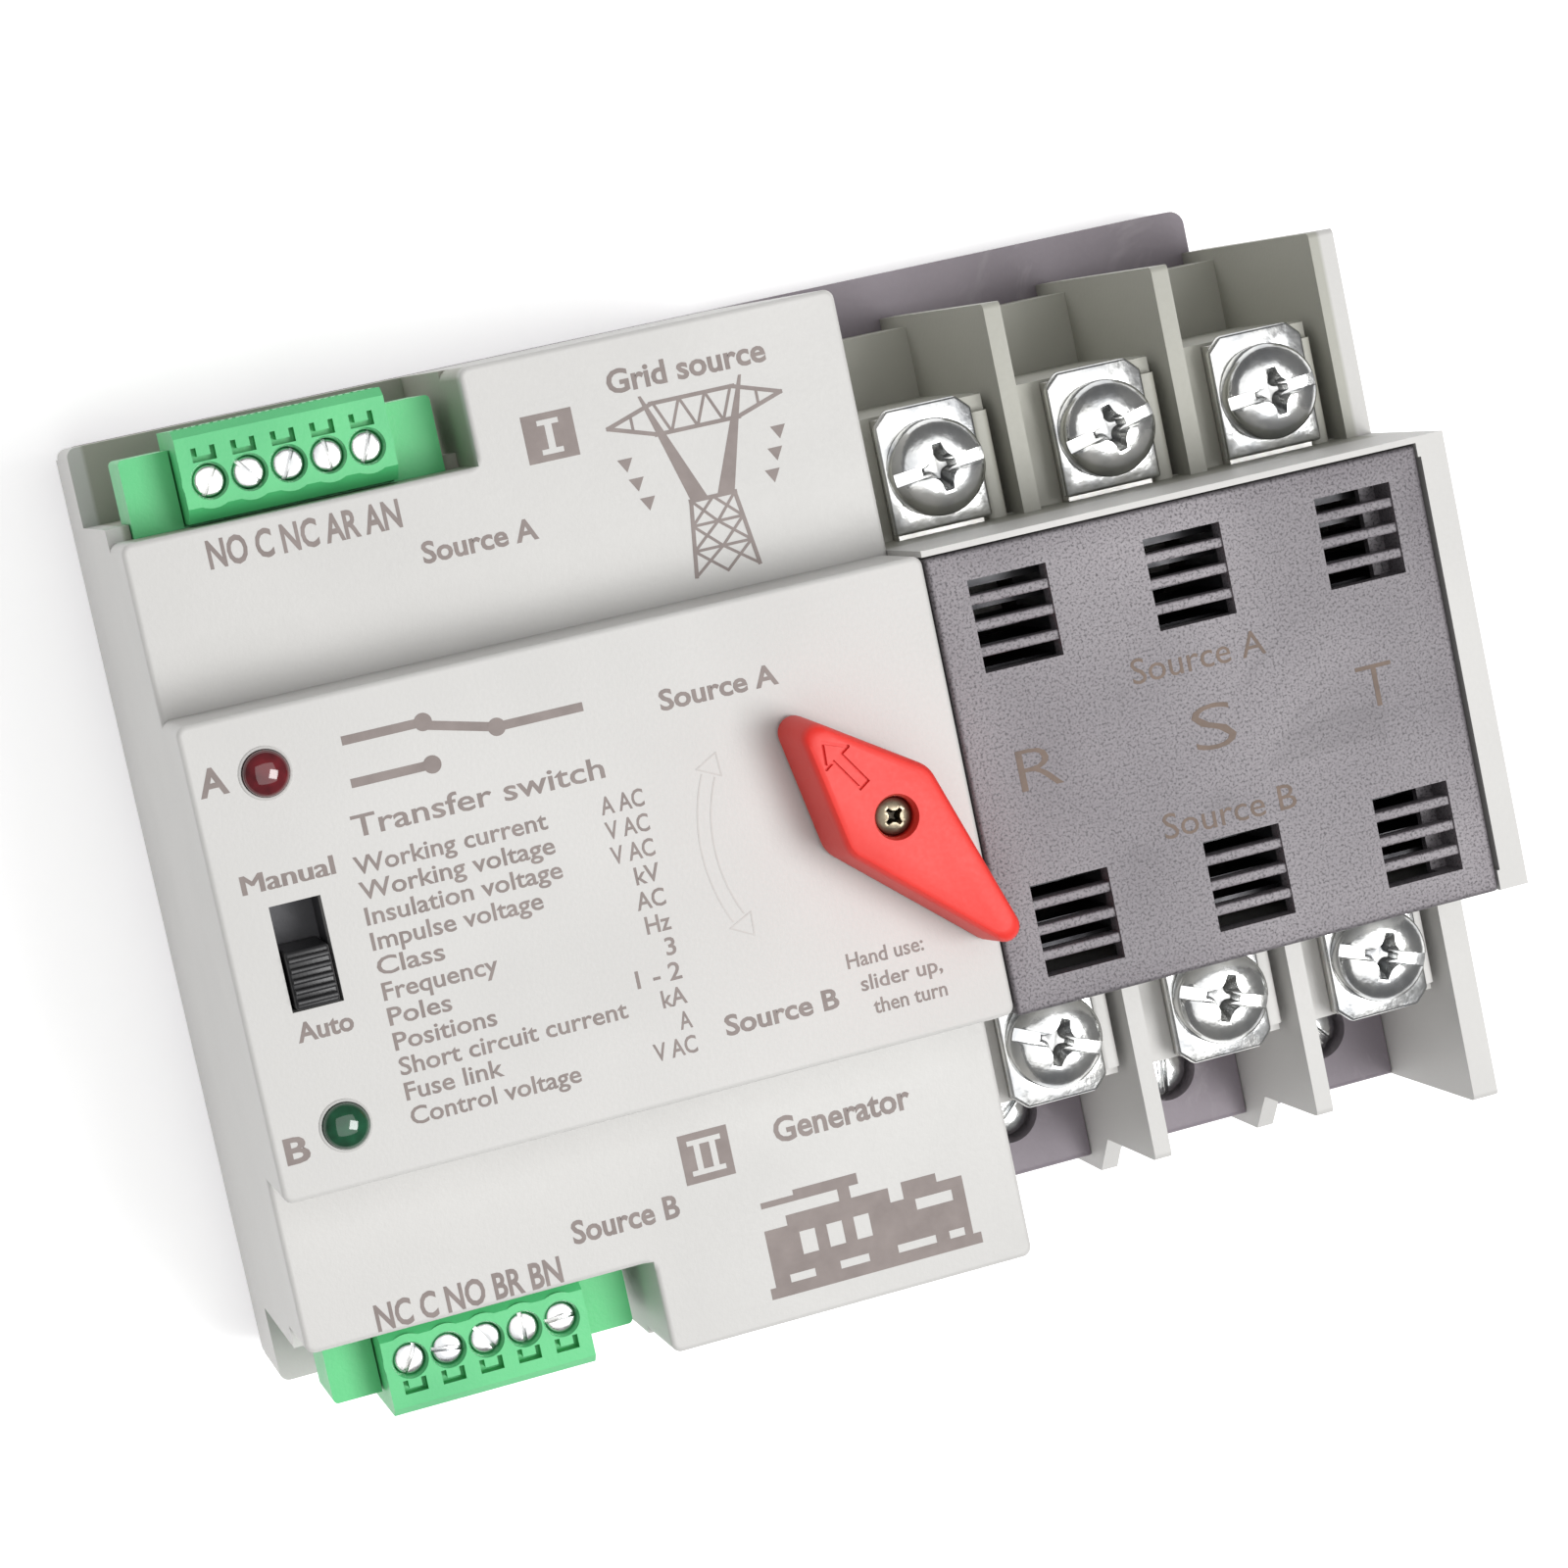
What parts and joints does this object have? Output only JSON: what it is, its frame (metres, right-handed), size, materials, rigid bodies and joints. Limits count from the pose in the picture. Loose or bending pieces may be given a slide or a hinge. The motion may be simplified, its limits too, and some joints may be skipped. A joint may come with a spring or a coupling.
{
  "type": "manual transfer switch",
  "caption": "Rail-mounted changeover switch with a red turning handle, screw terminals for two supplies, vented pole cover and plug-in control connectors.",
  "frame": {"origin": "middle of the back, at the level of the back pads", "axes": "+X along the rail towards the poles, +Y towards the source A terminals, +Z out of the panel"},
  "size_m": [0.1264, 0.0972, 0.0685],
  "materials": {
    "housing_grey": "light grey moulded nylon, fine matt texture",
    "base_black": "dark grey glass-filled nylon",
    "cover_dark": "dark grey textured plastic",
    "handle_red": "red moulded plastic, satin",
    "connector_green": "green connector plastic",
    "zinc_steel": "zinc-plated steel",
    "copper": "bare copper alloy",
    "tinned_copper": "tin-plated copper bar",
    "arc_steel": "dark oxidised steel plate",
    "silver_tip": "silver alloy contact",
    "coil_winding": "enamelled copper wire, wound",
    "mechanism_plastic": "dark moulded plastic",
    "board_green": "circuit board with solder mask",
    "lamp_red": "dark red clear lens, unlit",
    "lamp_green": "dark green clear lens, unlit",
    "knob_black": "black slider knob"
  },
  "bodies": {
    "housing": {"base_plate": "base_black", "base_screws": "zinc_steel", "control_housing": "housing_grey", "control_cover": "housing_grey", "pole_housing": "housing_grey", "pole_cover": "cover_dark", "load_block_r": "base_black", "load_block_s": "base_black", "load_block_t": "base_black", "load_bars": "tinned_copper", "load_clamps": "zinc_steel", "load_screws": "zinc_steel", "terminal_bars_a": "tinned_copper", "terminal_bars_b": "tinned_copper", "fixed_contacts_a": "silver_tip", "fixed_contacts_b": "silver_tip", "clamp_plates_a": "zinc_steel", "clamp_plates_b": "zinc_steel", "terminal_screws_a": "zinc_steel", "terminal_screws_b": "zinc_steel", "terminal_nuts": "zinc_steel", "arc_plates_a": "arc_steel", "arc_plates_b": "arc_steel", "arc_frames": "mechanism_plastic", "mechanism_frame": "zinc_steel", "solenoid_frame": "zinc_steel", "solenoid_bobbin": "mechanism_plastic", "solenoid_coil": "coil_winding", "aux_switches": "mechanism_plastic", "mode_switch_body": "mechanism_plastic", "lamp_a": "lamp_red", "lamp_b": "lamp_green", "indicator_board": "board_green", "control_board": "board_green", "relays": "mechanism_plastic", "capacitor": "mechanism_plastic", "connector_header_a": "connector_green", "connector_header_b": "connector_green", "header_pins_a": "copper", "header_pins_b": "copper", "latch_spring": "zinc_steel"},
    "handle": {"handle": "handle_red", "handle_screw": "zinc_steel", "handle_spindle": "zinc_steel"},
    "transfer_slide": {"transfer_slide": "mechanism_plastic", "plunger": "zinc_steel"},
    "contact_shaft": {"contact_rotor": "mechanism_plastic", "moving_contacts": "copper", "moving_tips": "silver_tip"},
    "mode_knob": {"mode_knob": "knob_black"},
    "din_latch": {"din_latch": "base_black"},
    "plug_a": {"plug_a": "connector_green", "plug_screws_a": "zinc_steel", "plug_clamps_a": "copper"},
    "plug_b": {"plug_b": "connector_green", "plug_screws_b": "zinc_steel", "plug_clamps_b": "copper"}
  },
  "joints": [
    {"name": "handle_turn", "type": "hinge", "parent": "housing", "child": "handle", "pos_m": [-0.0011, 0, 0.0605], "axis": [0, 0, 1], "range_deg": [0, 113]},
    {"name": "slide_shift", "type": "slide", "parent": "housing", "child": "transfer_slide", "axis": [0, -1, 0], "range_m": [0, 0.01]},
    {"name": "contact_swing", "type": "hinge", "parent": "housing", "child": "contact_shaft", "pos_m": [0, 0, 0.024], "axis": [1, 0, 0], "range_deg": [0, 56.1]},
    {"name": "mode_shift", "type": "slide", "parent": "housing", "child": "mode_knob", "axis": [0, 1, 0], "range_m": [0, 0.0042]},
    {"name": "latch_pull", "type": "slide", "parent": "housing", "child": "din_latch", "axis": [0, -1, 0], "range_m": [0, 0.0025], "stiffness_N_per_m": 300, "springref_m": -0.0015, "deforming": ["latch_spring"]},
    {"name": "plug_a_pull", "type": "slide", "parent": "housing", "child": "plug_a", "axis": [0, 1, 0], "range_m": [0, 0.012]},
    {"name": "plug_b_pull", "type": "slide", "parent": "housing", "child": "plug_b", "axis": [0, -1, 0], "range_m": [0, 0.012]}
  ],
  "couplings": [
    {"joint": "handle_turn", "follows": "slide_shift", "rad_per_m": 197.09},
    {"joint": "contact_swing", "follows": "slide_shift", "rad_per_m": 97.674}
  ]
}
